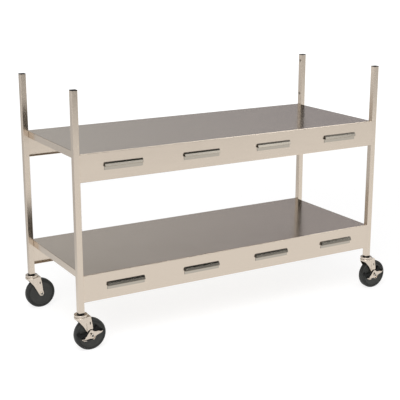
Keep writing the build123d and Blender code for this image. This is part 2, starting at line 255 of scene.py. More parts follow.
def open_tree(name, inputs):
    """An empty Geometry Nodes tree with its named inputs."""
    tree = bpy.data.node_groups.new(name, "GeometryNodeTree")
    tree.is_modifier = True
    tree.interface.new_socket("Geometry", in_out="INPUT", socket_type="NodeSocketGeometry")
    for title, kind, default in inputs:
        socket = tree.interface.new_socket(title, in_out="INPUT", socket_type=kind)
        if default is not None:
            socket.default_value = default
    tree.interface.new_socket("Geometry", in_out="OUTPUT", socket_type="NodeSocketGeometry")
    return tree, add(tree, "NodeGroupInput")


def close_tree(tree, source, geometry, rounded=True):
    """Ends a tree: instances made real, shaded smooth where they are rounded, and given their finish."""
    real = add(tree, "GeometryNodeRealizeInstances", None, {"Geometry": geometry})
    if rounded:
        real = add(tree, "GeometryNodeSetShadeSmooth", None, {"Geometry": real.outputs[0]})
    done = add(tree, "GeometryNodeSetMaterial", None, {
        "Geometry": real.outputs[0], "Material": source.outputs["Finish"],
    })
    add(tree, "NodeGroupOutput", None, {"Geometry": done.outputs[0]})
    return tree


# Geometry Nodes trees


def beads_tree():
    """A round bead at each point of the base mesh: marbles in a rail, or the ripples of a weld."""
    tree, source = open_tree("beads", [
        ("Bead Radius", "NodeSocketFloat", 3.175 * MM), ("Bead Segments", "NodeSocketInt", 20),
        ("Bead Rings", "NodeSocketInt", 12), ("Flatten", "NodeSocketVector", (1.0, 1.0, 1.0)),
        ("Size Spread", "NodeSocketFloat", 0.0), ("Seed", "NodeSocketInt", 7),
        ("Finish", "NodeSocketMaterial", None),
    ])
    ball = add(tree, "GeometryNodeMeshUVSphere", None, {
        "Segments": source.outputs["Bead Segments"], "Rings": source.outputs["Bead Rings"],
        "Radius": source.outputs["Bead Radius"],
    })
    least = add(tree, "ShaderNodeMath", {"operation": "SUBTRACT"}, {0: 1.0, 1: source.outputs["Size Spread"]})
    size = add(tree, "FunctionNodeRandomValue", {"data_type": "FLOAT"}, {
        2: least.outputs[0], 3: 1.0, "Seed": source.outputs["Seed"],
    })
    scale = add(tree, "ShaderNodeVectorMath", {"operation": "SCALE"}, {
        0: source.outputs["Flatten"], "Scale": size.outputs[1],
    })
    copies = add(tree, "GeometryNodeInstanceOnPoints", None, {
        "Points": source.outputs["Geometry"], "Instance": ball.outputs["Mesh"], "Scale": scale.outputs[0],
    })
    return close_tree(tree, source, copies.outputs[0])


def ball_ring_tree():
    """Bearing balls spaced evenly round a race."""
    tree, source = open_tree("ball_ring", [
        ("Ball Count", "NodeSocketInt", 22), ("Ball Radius", "NodeSocketFloat", 2.4 * MM),
        ("Ring Radius", "NodeSocketFloat", 21 * MM), ("Centre", "NodeSocketVector", (0.0, 0.0, 0.0)),
        ("Finish", "NodeSocketMaterial", None),
    ])
    circle = add(tree, "GeometryNodeMeshCircle", None, {
        "Vertices": source.outputs["Ball Count"], "Radius": source.outputs["Ring Radius"],
    })
    ball = add(tree, "GeometryNodeMeshUVSphere", None, {
        "Segments": 18, "Rings": 12, "Radius": source.outputs["Ball Radius"],
    })
    copies = add(tree, "GeometryNodeInstanceOnPoints", None, {
        "Points": circle.outputs["Mesh"], "Instance": ball.outputs["Mesh"],
    })
    placed = add(tree, "GeometryNodeTransform", None, {
        "Geometry": copies.outputs[0], "Translation": source.outputs["Centre"],
    })
    return close_tree(tree, source, placed.outputs[0])


def fixings_tree():
    """A copy of one fixing at each point, faced by the point's turn and spun by chance about its own axis."""
    tree, source = open_tree("fixings", [
        ("Fixing", "NodeSocketObject", None), ("Spin", "NodeSocketFloat", 0.0),
        ("Seed", "NodeSocketInt", 3), ("Finish", "NodeSocketMaterial", None),
    ])
    fixing = add(tree, "GeometryNodeObjectInfo", None, {"Object": source.outputs["Fixing"]})
    turn = add(tree, "GeometryNodeInputNamedAttribute", {"data_type": "FLOAT_VECTOR"}, {"Name": "turn"})
    spin = add(tree, "FunctionNodeRandomValue", {"data_type": "FLOAT"}, {
        2: 0.0, 3: source.outputs["Spin"], "Seed": source.outputs["Seed"],
    })
    about = add(tree, "ShaderNodeCombineXYZ", None, {"Y": spin.outputs[1]})
    copies = add(tree, "GeometryNodeInstanceOnPoints", None, {
        "Points": source.outputs["Geometry"], "Instance": fixing.outputs["Geometry"],
        "Rotation": turn.outputs[0],
    })
    spun = add(tree, "GeometryNodeRotateInstances", None, {
        "Instances": copies.outputs[0], "Rotation": about.outputs[0],
    })
    return close_tree(tree, source, spun.outputs[0], rounded=False)


# Finishes


def brushed_metal(name, colour, stretch, pitch, low, high, ripple, painted_end_shade=None):
    """Sheet or tube with the fine parallel lines that an abrasive belt leaves.

    stretch is the pattern's scale along each axis, small along the brush. The belt's real lines are
    about 0.1 mm apart, too fine to show, so they are drawn as coarse as pitch. Roughness runs from low
    to high, and ripple is the lines' depth. The last argument is painted shade: a darker colour on
    faces that point along X, for the shade seen at the rails' ends."""
    material, tree = blank_material(name)
    place = add(tree, "ShaderNodeTexCoord")
    drawn = add(tree, "ShaderNodeMapping", None, {"Vector": place.outputs["Object"], "Scale": stretch})
    lines = add(tree, "ShaderNodeTexNoise", None, {
        "Vector": drawn.outputs[0], "Scale": 1 / pitch, "Detail": 3.0, "Roughness": 0.55,
    })
    # Handling marks, a hand's width across.
    smears = add(tree, "ShaderNodeTexNoise", None, {
        "Vector": place.outputs["Object"], "Scale": 7.0, "Detail": 2.0, "Distortion": 0.6,
    })
    polish = add(tree, "ShaderNodeMapRange", None, {
        "Value": lines.outputs[0], "From Min": 0.3, "From Max": 0.7, "To Min": low, "To Max": high,
    })
    worn = add(tree, "ShaderNodeMapRange", None, {
        "Value": smears.outputs[0], "From Min": 0.35, "From Max": 0.65, "To Min": -0.012, "To Max": 0.012,
    })
    rough = add(tree, "ShaderNodeMath", {"operation": "ADD"}, {0: polish.outputs[0], 1: worn.outputs[0]})
    shade = add(tree, "ShaderNodeMix", {"data_type": "RGBA"}, {
        0: lines.outputs[0], 6: darker(colour, 0.965), 7: list(colour),
    })
    # Painted shade: faces that point along X take a darker colour, for the shade seen at the rails' ends.
    if painted_end_shade:
        facing = add(tree, "ShaderNodeSeparateXYZ", None, {0: place.outputs["Normal"]})
        along = add(tree, "ShaderNodeMath", {"operation": "ABSOLUTE"}, {0: facing.outputs[0]})
        end = add(tree, "ShaderNodeMath", {"operation": "GREATER_THAN"}, {0: along.outputs[0], 1: 0.7})
        shade = add(tree, "ShaderNodeMix", {"data_type": "RGBA"}, {
            0: end.outputs[0], 6: shade.outputs[2], 7: list(painted_end_shade),
        })
    relief = add(tree, "ShaderNodeBump", None, {
        "Height": lines.outputs[0], "Strength": 1.0, "Distance": ripple,
    })
    finish = add(tree, "ShaderNodeBsdfPrincipled", None, {
        "Base Color": shade.outputs[2], "Metallic": 1.0, "Roughness": rough.outputs[0],
        "Normal": relief.outputs[0],
    })
    add(tree, "ShaderNodeOutputMaterial", None, {"Surface": finish.outputs[0]})
    return material


def galvanised_sheet(colour):
    """Hot-dip galvanised strip: the zinc's crystals each turn the light differently."""
    crystal = 9 * MM
    material, tree = blank_material("galvanised_sheet")
    place = add(tree, "ShaderNodeTexCoord")
    crystals = add(tree, "ShaderNodeTexVoronoi", {"feature": "F1"}, {
        "Vector": place.outputs["Object"], "Scale": 1 / crystal, "Randomness": 1.0,
    })
    each = add(tree, "ShaderNodeSeparateColor", None, {0: crystals.outputs["Color"]})
    shade = add(tree, "ShaderNodeMix", {"data_type": "RGBA"}, {
        0: each.outputs[0], 6: darker(colour, 0.8), 7: list(colour),
    })
    rough = add(tree, "ShaderNodeMapRange", None, {"Value": each.outputs[1], "To Min": 0.3, "To Max": 0.48})
    finish = add(tree, "ShaderNodeBsdfPrincipled", None, {
        "Base Color": shade.outputs[2], "Metallic": 1.0, "Roughness": rough.outputs[0],
    })
    add(tree, "ShaderNodeOutputMaterial", None, {"Surface": finish.outputs[0]})
    return material


def zinc_plate(name, colour, low, high):
    """Plated or bare bright metal: smooth, with a faint cloud in its surface and fine pores.

    Real pores are finer still, and are drawn at 0.9 mm to show."""
    cloud_size, pore_size = 12 * MM, 0.9 * MM
    material, tree = blank_material(name)
    place = add(tree, "ShaderNodeTexCoord")
    cloud = add(tree, "ShaderNodeTexNoise", None, {
        "Vector": place.outputs["Object"], "Scale": 1 / cloud_size, "Detail": 4.0, "Roughness": 0.6,
    })
    pores = add(tree, "ShaderNodeTexNoise", None, {
        "Vector": place.outputs["Object"], "Scale": 1 / pore_size, "Detail": 2.0,
    })
    rough = add(tree, "ShaderNodeMapRange", None, {
        "Value": cloud.outputs[0], "From Min": 0.35, "From Max": 0.65, "To Min": low, "To Max": high,
    })
    shade = add(tree, "ShaderNodeMix", {"data_type": "RGBA"}, {
        0: cloud.outputs[0], 6: darker(colour, 0.92), 7: list(colour),
    })
    relief = add(tree, "ShaderNodeBump", None, {
        "Height": pores.outputs[0], "Strength": 0.5, "Distance": 0.03 * MM,
    })
    finish = add(tree, "ShaderNodeBsdfPrincipled", None, {
        "Base Color": shade.outputs[2], "Metallic": 1.0, "Roughness": rough.outputs[0],
        "Normal": relief.outputs[0],
    })
    add(tree, "ShaderNodeOutputMaterial", None, {"Surface": finish.outputs[0]})
    return material


def moulded(name, colour, grain, depth, roughness, dust, sheen=0.5):
    """Moulded plastic or rubber: the mould's grain, with dust held in it in patches about 30 mm across."""
    patch = 30 * MM
    material, tree = blank_material(name)
    place = add(tree, "ShaderNodeTexCoord")
    texture = add(tree, "ShaderNodeTexNoise", None, {
        "Vector": place.outputs["Object"], "Scale": 1 / grain, "Detail": 3.0, "Roughness": 0.6,
    })
    patches = add(tree, "ShaderNodeTexNoise", None, {
        "Vector": place.outputs["Object"], "Scale": 1 / patch, "Detail": 3.0,
    })
    held = add(tree, "ShaderNodeMapRange", None, {
        "Value": patches.outputs[0], "From Min": 0.45, "From Max": 0.75, "To Min": 0.0, "To Max": dust,
    })
    paler = [part * 1.9 + 0.006 for part in colour[:3]] + [1.0]
    shade = add(tree, "ShaderNodeMix", {"data_type": "RGBA"}, {
        0: held.outputs[0], 6: list(colour), 7: paler,
    })
    rough = add(tree, "ShaderNodeMapRange", None, {
        "Value": texture.outputs[0], "From Min": 0.3, "From Max": 0.7,
        "To Min": roughness - 0.05, "To Max": roughness + 0.05,
    })
    relief = add(tree, "ShaderNodeBump", None, {
        "Height": texture.outputs[0], "Strength": 0.7, "Distance": depth,
    })
    finish = add(tree, "ShaderNodeBsdfPrincipled", None, {
        "Base Color": shade.outputs[2], "Roughness": rough.outputs[0], "Specular IOR Level": sheen,
        "Normal": relief.outputs[0],
    })
    add(tree, "ShaderNodeOutputMaterial", None, {"Surface": finish.outputs[0]})
    return material


def clear_glass(colour):
    """Soda-lime glass: clear, with a trace of green and a few seeds, 2 mm apart, frozen in it."""
    apart = 2 * MM
    material, tree = blank_material("clear_glass")
    place = add(tree, "ShaderNodeTexCoord")
    seeds = add(tree, "ShaderNodeTexNoise", None, {"Vector": place.outputs["Object"], "Scale": 1 / apart})
    rough = add(tree, "ShaderNodeMapRange", None, {"Value": seeds.outputs[0], "To Min": 0.0, "To Max": 0.05})
    finish = add(tree, "ShaderNodeBsdfPrincipled", None, {
        "Base Color": list(colour), "Roughness": rough.outputs[0], "IOR": 1.52, "Transmission Weight": 1.0,
    })
    add(tree, "ShaderNodeOutputMaterial", None, {"Surface": finish.outputs[0]})
    return material


FINISHES = {}


def finish_of(title):
    """The named finish, made the first time that a piece asks for it."""
    if title in FINISHES:
        return FINISHES[title]
    colours = bpy.context.scene.cart_colours
    along_x, along_z = (0.012, 1.0, 1.0), (1.0, 1.0, 0.012)
    makers = {
        # Cold-rolled stainless sheet with a No. 4 belt finish: soft mirror, streaked along the shelf.
        "sheet": lambda: brushed_metal(
            "brushed_stainless_sheet", colours.stainless, along_x, 1.6 * MM, 0.17, 0.23, 0.014 * MM),
        # Welded stainless tube, belted along its length, so its streaks run up the posts.
        "tube": lambda: brushed_metal(
            "brushed_stainless_tube", colours.stainless_tube, along_z, 1.4 * MM, 0.2, 0.26, 0.008 * MM),
        # Extruded aluminium, satin anodised: neutral grey beside the warm stainless, with painted shade on
        # its end faces.
        "aluminium": lambda: brushed_metal(
            "satin_anodised_aluminium", colours.aluminium, along_x, 0.8 * MM, 0.12, 0.18, 0.008 * MM,
            painted_end_shade=tone("#6A655E")),
        # Galvanised strip: grey, in a patchwork of crystals.
        "galvanised": lambda: galvanised_sheet(colours.galvanised),
        # Bright zinc on the pressed forks and pedals and the turned stems: pale, smooth and a little warm.
        "zinc": lambda: zinc_plate("bright_zinc_plate", colours.zinc, 0.2, 0.3),
        # Barrel zinc on the axle bolts and their nuts: duller than the pressings.
        "bolt": lambda: zinc_plate("barrel_zinc_plate", colours.bolt, 0.3, 0.4),
        # Ball bearing steel, ground and lapped: nearly a mirror.
        "bearing": lambda: zinc_plate("lapped_bearing_steel", colours.bearing, 0.05, 0.1),
        # Annealed aluminium rivets, left as headed: pale and dull.
        "rivet": lambda: zinc_plate("bare_aluminium", colours.rivet, 0.3, 0.4),
        # Dull zinc on the threaded inserts: darker than the post, with broad highlights.
        "insert": lambda: zinc_plate("dull_zinc_plate", colours.insert, 0.34, 0.46),
        # Painted shade in the bolt's socket: black, with a thin gloss of oil, in a bolt that is otherwise
        # zinc.
        "painted_socket_shade": lambda: moulded("socket_shade_black", colours.painted_socket_shade, 0.5 * MM, 0.02 * MM, 0.5, 0.1),
        # Satin enamel on the brake bars: an even black with little gloss. The black also paints shadow beside
        # the fork legs and levers, where the bars' outline reaches past a real bar.
        "enamel_and_shadow": lambda: moulded("black_enamel_and_shadow", colours.enamel_and_shadow, 0.9 * MM, 0.02 * MM, 0.42, 0.1, 0.2),
        # Polyethylene caps with a fine spark-eroded grain: near black and matt.
        "cap": lambda: moulded("black_polyethylene", colours.cap, 0.5 * MM, 0.03 * MM, 0.5, 0.12, 0.15),
        # Glass-filled nylon wheel centres: even, a little paler than the tread.
        "core": lambda: moulded("glass_filled_nylon", colours.core, 1.1 * MM, 0.05 * MM, 0.5, 0.35),
        # Vulcanised tread rubber: dark grey under a soft bloom.
        "tread": lambda: moulded("black_tread_rubber", colours.tread, 0.7 * MM, 0.04 * MM, 0.55, 0.35, 0.4),
        # Moulded rubber of the expander's sleeve: matt black, a little dusty. Its black collar under each
        # post also paints the shade in the gap between post and race.
        "sleeve_and_shade": lambda: moulded("sleeve_rubber_and_shade", colours.sleeve_and_shade, 0.6 * MM, 0.04 * MM, 0.6, 0.2, 0.2),
        # The lock nut's ring in uncoloured nylon: milky, with a soft shine.
        "nylon": lambda: moulded("natural_nylon", colours.nylon, 0.6 * MM, 0.02 * MM, 0.4, 0.1),
        # Soda-lime marbles: clear and slightly green.
        "glass": lambda: clear_glass(colours.glass),
    }
    FINISHES[title] = makers[title]()
    return FINISHES[title]


# Settings


class CartSizes(bpy.types.PropertyGroup):
    pressed_edge: bpy.props.FloatProperty(
        name="Pressed edge", description="Radius of a pressed steel edge", default=0.5 * MM, unit="LENGTH")
    extruded_edge: bpy.props.FloatProperty(
        name="Extruded edge", description="Radius of an extruded edge", default=0.22 * MM, unit="LENGTH")
    wheel_radius: bpy.props.FloatProperty(
        name="Wheel radius", description="Outer radius of the tread",
        default=span_of("front_left_tyre").z / 2, unit="LENGTH")
    wheel_width: bpy.props.FloatProperty(
        name="Wheel width", description="Width of the tread",
        default=span_of("front_left_tyre").y, unit="LENGTH")
    core_radius: bpy.props.FloatProperty(
        name="Core radius", description="Radius where the tread sits on the wheel centre",
        default=span_of("front_left_hub").z / 2, unit="LENGTH")
    hub_width: bpy.props.FloatProperty(
        name="Hub width", description="Length of the wheel centre's boss",
        default=span_of("front_left_hub").y, unit="LENGTH")
    bushing_radius: bpy.props.FloatProperty(
        name="Bushing radius", description="Radius of the tube that the wheel turns on",
        default=span_of("front_left_bushing").z / 2, unit="LENGTH")
    shoulder: bpy.props.FloatProperty(
        name="Tread shoulder", description="Radius of the tread's shoulders", default=7.0 * MM, unit="LENGTH")
    marble_radius: bpy.props.FloatProperty(
        name="Marble radius", description="Radius of the glass marbles", default=3.175 * MM, unit="LENGTH")
    ball_radius: bpy.props.FloatProperty(
        name="Ball radius", description="Radius of the bearing balls", default=2.4 * MM, unit="LENGTH")
    weld_pitch: bpy.props.FloatProperty(
        name="Weld pitch", description="Distance between a weld's ripples", default=1.9 * MM, unit="LENGTH")
    spot_pitch: bpy.props.FloatProperty(
        name="Spot weld pitch", description="Distance between spot welds", default=75.0 * MM, unit="LENGTH")


class CartColours(bpy.types.PropertyGroup):
    stainless: bpy.props.FloatVectorProperty(
        name="Stainless sheet", description="Shelves and aprons", subtype="COLOR", size=4,
        default=tone("#D6C9BA"))
    stainless_tube: bpy.props.FloatVectorProperty(
        name="Stainless tube", description="Posts", subtype="COLOR", size=4, default=tone("#D6C9BA"))
    aluminium: bpy.props.FloatVectorProperty(
        name="Anodised aluminium", description="Slip rails", subtype="COLOR", size=4, default=tone("#B5AEA2"))
    galvanised: bpy.props.FloatVectorProperty(
        name="Galvanised sheet", description="Stiffeners", subtype="COLOR", size=4, default=tone("#C3C4C3"))
    zinc: bpy.props.FloatVectorProperty(
        name="Zinc plate", description="Forks, races and pedals", subtype="COLOR", size=4,
        default=tone("#D8CCBE"))
    bolt: bpy.props.FloatVectorProperty(
        name="Bolt plate", description="Axle bolts", subtype="COLOR", size=4, default=tone("#D2CBC0"))
    bearing: bpy.props.FloatVectorProperty(
        name="Bearing steel", description="Bearing balls", subtype="COLOR", size=4, default=tone("#D8D8D6"))
    rivet: bpy.props.FloatVectorProperty(
        name="Rivets", description="Blind rivets", subtype="COLOR", size=4, default=tone("#D2D1CD"))
    insert: bpy.props.FloatVectorProperty(
        name="Inserts", description="Threaded inserts", subtype="COLOR", size=4, default=tone("#8A8278"))
    # Painted shade: the black laid in the axle bolts' sockets, whose heads are zinc.
    painted_socket_shade: bpy.props.FloatVectorProperty(
        name="Painted socket shade", description="Bolt sockets", subtype="COLOR", size=4, default=tone("#151413"))
    # The brake bars' black: partly real enamel, partly painted shadow beside the fork legs and levers.
    enamel_and_shadow: bpy.props.FloatVectorProperty(
        name="Black enamel and shadow", description="Brake bars", subtype="COLOR", size=4, default=tone("#050505"))
    cap: bpy.props.FloatVectorProperty(
        name="Caps", description="Post caps", subtype="COLOR", size=4, default=tone("#110F0E"))
    core: bpy.props.FloatVectorProperty(
        name="Wheel centre", description="Wheel centres", subtype="COLOR", size=4, default=tone("#2C2D2A"))
    tread: bpy.props.FloatVectorProperty(
        name="Tread", description="Tyres", subtype="COLOR", size=4, default=tone("#232422"))
    # Black of the sleeves and collars: partly real rubber, partly painted shade in the gap under each post.
    sleeve_and_shade: bpy.props.FloatVectorProperty(
        name="Sleeve", description="Expander sleeves and collars", subtype="COLOR", size=4,
        default=tone("#1B1A19"))
    nylon: bpy.props.FloatVectorProperty(
        name="Nylon", description="Lock nut rings", subtype="COLOR", size=4, default=tone("#D9D6CC"))
    glass: bpy.props.FloatVectorProperty(
        name="Glass", description="Marbles", subtype="COLOR", size=4, default=tone("#E9F3EE"))


# The stage


def studio_floor():
    """A pale floor: white to the camera with a soft shadow, and bright to the metal above it."""
    material, tree = blank_material("studio_floor")
    path = add(tree, "ShaderNodeLightPath")
    place = add(tree, "ShaderNodeTexCoord")
    axes = add(tree, "ShaderNodeSeparateXYZ", None, {0: place.outputs["Object"]})
    # The paper falls off behind and to the left of the cart, and far away.
    slope = add(tree, "ShaderNodeMath", {"operation": "MULTIPLY_ADD"}, {
        0: axes.outputs[0], 1: -0.6, 2: axes.outputs[1],
    })
    behind = add(tree, "ShaderNodeMapRange", {"interpolation_type": "SMOOTHSTEP"}, {
        "Value": slope.outputs[0], "From Min": 0.3, "From Max": 2.2, "To Min": 1.0, "To Max": 0.64,
    })
    reach = add(tree, "ShaderNodeVectorMath", {"operation": "LENGTH"}, {0: place.outputs["Object"]})
    distant = add(tree, "ShaderNodeMapRange", {"interpolation_type": "SMOOTHSTEP"}, {
        "Value": reach.outputs["Value"], "From Min": 4.5, "From Max": 9.0, "To Min": 1.0, "To Max": 0.82,
    })
    mirrored = add(tree, "ShaderNodeMath", {"operation": "MULTIPLY"}, {
        0: behind.outputs[0], 1: distant.outputs[0],
    })
    paper = add(tree, "ShaderNodeBsdfDiffuse", None, {"Color": (0.8, 0.8, 0.8, 1.0)})
    faint = add(tree, "ShaderNodeBsdfDiffuse", None, {"Color": (0.36, 0.36, 0.36, 1.0)})
    far = add(tree, "ShaderNodeMapRange", {"interpolation_type": "SMOOTHSTEP"}, {
        "Value": reach.outputs["Value"], "From Min": 2.0, "From Max": 6.0, "To Min": 0.78, "To Max": 0.97,
    })
    white = add(tree, "ShaderNodeEmission", None, {
        "Color": (1.0, 1.0, 1.0, 1.0), "Strength": far.outputs[0],
    })
    seen = add(tree, "ShaderNodeAddShader", None, {0: faint.outputs[0], 1: white.outputs[0]})
    glow = add(tree, "ShaderNodeEmission", None, {
        "Color": (1.0, 1.0, 1.0, 1.0), "Strength": mirrored.outputs[0],
    })
    shiny = add(tree, "ShaderNodeMath", {"operation": "MAXIMUM"}, {
        0: path.outputs["Is Glossy Ray"], 1: path.outputs["Is Transmission Ray"],
    })
    first = add(tree, "ShaderNodeMixShader", None, {
        0: shiny.outputs[0], 1: paper.outputs[0], 2: glow.outputs[0],
    })
    second = add(tree, "ShaderNodeMixShader", None, {
        0: path.outputs["Is Camera Ray"], 1: first.outputs[0], 2: seen.outputs[0],
    })
    add(tree, "ShaderNodeOutputMaterial", None, {"Surface": second.outputs[0]})
    return material


def glow(tree, colour, deep=None):
    """Ends a card's tree in its own light, with another level for light that has met the metal twice."""
    if deep is not None:
        path = add(tree, "ShaderNodeLightPath")
        twice = add(tree, "ShaderNodeMath", {"operation": "GREATER_THAN"}, {
            0: path.outputs["Glossy Depth"], 1: 1.5,
        })
        mixed = add(tree, "ShaderNodeMix", {"data_type": "RGBA"}, {
            0: twice.outputs[0], 6: colour, 7: (deep, deep, deep, 1.0),
        })
        colour = mixed.outputs[2]
    light = add(tree, "ShaderNodeEmission", None, {"Color": colour, "Strength": 1.0})
    add(tree, "ShaderNodeOutputMaterial", None, {"Surface": light.outputs[0]})


def wall_finish():
    """The grey wall that the decks mirror, which shades from the back left to the back right."""
    material, tree = blank_material("studio_wall")
    place = add(tree, "ShaderNodeTexCoord")
    axes = add(tree, "ShaderNodeSeparateXYZ", None, {0: place.outputs["Object"]})
    heading = add(tree, "ShaderNodeMath", {"operation": "ARCTAN2"}, {0: axes.outputs[0], 1: axes.outputs[1]})
    falling = add(tree, "ShaderNodeMapRange", None, {
        "Value": heading.outputs[0], "From Min": math.radians(16), "From Max": math.radians(42),
        "To Min": 0.0, "To Max": 1.0,
    })
    shade = add(tree, "ShaderNodeMix", {"data_type": "RGBA"}, {
        0: falling.outputs[0], 6: (0.437, 0.431, 0.425, 1.0), 7: (0.324, 0.312, 0.327, 1.0),
    })
    # Paler and cooler above, which the lower deck mirrors.
    rise = add(tree, "ShaderNodeMapRange", {"interpolation_type": "SMOOTHSTEP"}, {
        "Value": axes.outputs[2], "From Min": 2.1, "From Max": 2.6, "To Min": 0.0, "To Max": 1.0,
    })
    lift = add(tree, "ShaderNodeMix", {"data_type": "RGBA"}, {
        0: rise.outputs[0], 6: (1.0, 1.0, 1.0, 1.0), 7: (1.26, 1.295, 1.32, 1.0),
    })
    level = add(tree, "ShaderNodeVectorMath", {"operation": "MULTIPLY"}, {
        0: shade.outputs[2], 1: lift.outputs[2],
    })
    # Darker again at the top, which makes the dark line along the aprons' bends.
    crest = add(tree, "ShaderNodeMapRange", {"interpolation_type": "SMOOTHSTEP"}, {
        "Value": axes.outputs[2], "From Min": 3.0, "From Max": 3.7, "To Min": 1.0, "To Max": 0.55,
    })
    dimmed = add(tree, "ShaderNodeVectorMath", {"operation": "SCALE"}, {
        0: level.outputs[0], "Scale": crest.outputs[0],
    })
    glow(tree, dimmed.outputs[0])
    return material


def card_finish(name, low, high, foot, top, deep=None):
    """A studio card that is even along its length and shades from low at its foot to high at its top."""
    material, tree = blank_material(name)
    place = add(tree, "ShaderNodeTexCoord")
    axes = add(tree, "ShaderNodeSeparateXYZ", None, {0: place.outputs["Object"]})
    shade = add(tree, "ShaderNodeMapRange", None, {
        "Value": axes.outputs[2], "From Min": foot, "From Max": top, "To Min": low, "To Max": high,
    })
    colour = add(tree, "ShaderNodeCombineColor", None, {
        0: shade.outputs[0], 1: shade.outputs[0], 2: shade.outputs[0],
    })
    glow(tree, colour.outputs[0], deep)
    return material


def card(name, reach, headings, heights, finish):
    """An upright curved card about the cart. Headings are in degrees from +Y toward +X, heights in metres."""
    first, last = headings
    # A facet for every 5 degrees.
    steps = max(2, round((last - first) / 5))
    turns = [math.radians(first + (last - first) * step / steps) for step in range(steps + 1)]
    shell = bmesh.new()
    foot, top = (
        [shell.verts.new((reach * math.sin(turn), reach * math.cos(turn), height)) for turn in turns]
        for height in heights
    )
    for step in range(steps):
        shell.faces.new((foot[step], foot[step + 1], top[step + 1], top[step]))
    mesh = mesh_of(shell, name)
    # Found by reflection alone, so that the level for twice-met light holds.
    finish.cycles.emission_sampling = "NONE"
    mesh.materials.append(finish)
    piece = shown(name, mesh)
    # Only the metal sees the cards.
    piece.visible_camera = False
    piece.visible_diffuse = False
    piece.visible_shadow = False
    piece.visible_transmission = False


class CART_OT_stage(bpy.types.Operator):
    """Set up the floor, the studio wall and its cards, the lamp and the camera."""
    bl_idname = "cart.stage"
    bl_label = "Stage"

    def execute(self, context):
        scene = context.scene
        shell = bmesh.new()
        bmesh.ops.create_grid(shell, x_segments=1, y_segments=1, size=40.0)
        mesh = mesh_of(shell, "floor")
        mesh.materials.append(studio_floor())
        mesh.materials[0].cycles.emission_sampling = "NONE"
        floor = shown("floor", mesh)
        card("wall", 7.5, (-90, 110), (0.5, 8.0), wall_finish())
        # Each card's distance, headings and heights, its level at the foot and at the top, and its level
        # for light that has met the metal twice, None where that is the same.
        for name, reach, headings, heights, low, high, deep in (
            ("dark_panel", 7.0, (150, 175), (0.0, 1.8), 0.1, 0.1, 0.0),
            ("dim_panel", 7.0, (125, 150), (0.0, 1.8), 0.57, 0.57, 0.05),
            ("dark_slot", 7.0, (150, 175), (1.85, 3.05), 0.3, 0.22, 0.0),
            ("dim_slot", 7.0, (125, 150), (1.85, 3.05), 0.3, 0.3, 0.05),
            ("middle_card", 7.0, (150, 175), (3.1, 4.85), 1.05, 0.75, 0.05),
            ("pale_card", 7.0, (125, 150), (3.1, 4.85), 1.45, 1.3, 0.05),
            ("bright_card", 7.0, (128, 175), (4.9, 6.35), 4.0, 4.0, 0.05),
            ("far_card", 7.0, (100, 128), (4.9, 6.35), 0.5, 0.5, 0.05),
            ("upper_card", 7.0, (163, 175), (6.4, 14.9), 1.0, 1.0, 0.05),
            ("left_fill", 7.0, (175, 205), (0.0, 14.9), 1.0, 1.0, 0.05),
            ("right_fill", 7.0, (100, 125), (0.0, 4.85), 1.6, 1.6, 0.05),
            ("side_card", 7.2, (-54, -31), (0.0, 2.0), 1.15, 1.15, None),
            ("top_card", 7.0, (35, 104), (5.0, 14.9), 2.3, 2.3, None),
            ("grey_flag", 7.0, (104, 121), (6.4, 14.9), 0.35, 0.35, None),
            ("black_flag", 7.0, (121, 163), (6.4, 14.9), 0.04, 0.04, None),
        ):
            card(name, reach, headings, heights, card_finish(name, low, high, *heights, deep))
        # One square softbox, up to the left in front and aimed at the cart's middle.
        aim = Vector((0, 0, 0.5))
        lamp_data = bpy.data.lights.new("softbox", "AREA")
        lamp_data.shape = "RECTANGLE"
        lamp_data.size = lamp_data.size_y = 3.0
        lamp_data.energy = 110.0
        lamp = bpy.data.objects.new("softbox", lamp_data)
        lamp.location = (-2.2, -2.6, 3.8)
        lamp.rotation_euler = (aim - lamp.location).to_track_quat("-Z", "Y").to_euler()
        scene.collection.objects.link(lamp)
        world = bpy.data.worlds.new("studio")
        scene.world = world
        world.use_nodes = True
        world.cycles.sampling_method = "NONE"
        tree = world.node_tree
        tree.nodes.clear()
        path = add(tree, "ShaderNodeLightPath")
        shiny = add(tree, "ShaderNodeMath", {"operation": "MAXIMUM"}, {
            0: path.outputs["Is Glossy Ray"], 1: path.outputs["Is Transmission Ray"],
        })
        seen = add(tree, "ShaderNodeMath", {"operation": "MAXIMUM"}, {
            0: path.outputs["Is Camera Ray"], 1: shiny.outputs[0],
        })
        level = add(tree, "ShaderNodeMapRange", None, {
            "Value": seen.outputs[0], "To Min": 0.5, "To Max": 1.0,
        })
        sky = add(tree, "ShaderNodeBackground", None, {
            "Color": (1.0, 1.0, 1.0, 1.0), "Strength": level.outputs[0],
        })
        add(tree, "ShaderNodeOutputWorld", None, {"Surface": sky.outputs[0]})
        # The lens and the camera's place, solved from the photograph's straight edges.
        view = bpy.data.cameras.new("camera")
        view.lens = 86.84
        view.sensor_width = 36.0
        view.clip_end = 100.0
        camera = bpy.data.objects.new("camera", view)
        camera.location = (-2.1908, -3.6678, 1.6005)
        camera.rotation_euler = Euler([math.radians(angle) for angle in (75.13, 0.0, -30.21)])
        scene.collection.objects.link(camera)
        scene.camera = camera
        scene.view_settings.view_transform = "Standard"
        return {"FINISHED"}


# Frame pieces


class CART_OT_frame(bpy.types.Operator):
    """Finish the posts, shelves, stiffeners and caps."""
    bl_idname = "cart.frame"
    bl_label = "Posts and shelves"

    def execute(self, context):
        for corner in CORNERS:
            dress(f"post_{corner}", finish_of("tube"))
            dress(f"post_cap_{corner}", finish_of("cap"))
        for deck in DECKS:
            dress(f"{deck}_shelf", finish_of("sheet"))
            dress(f"{deck}_stiffeners", finish_of("galvanised"))
        return {"FINISHED"}


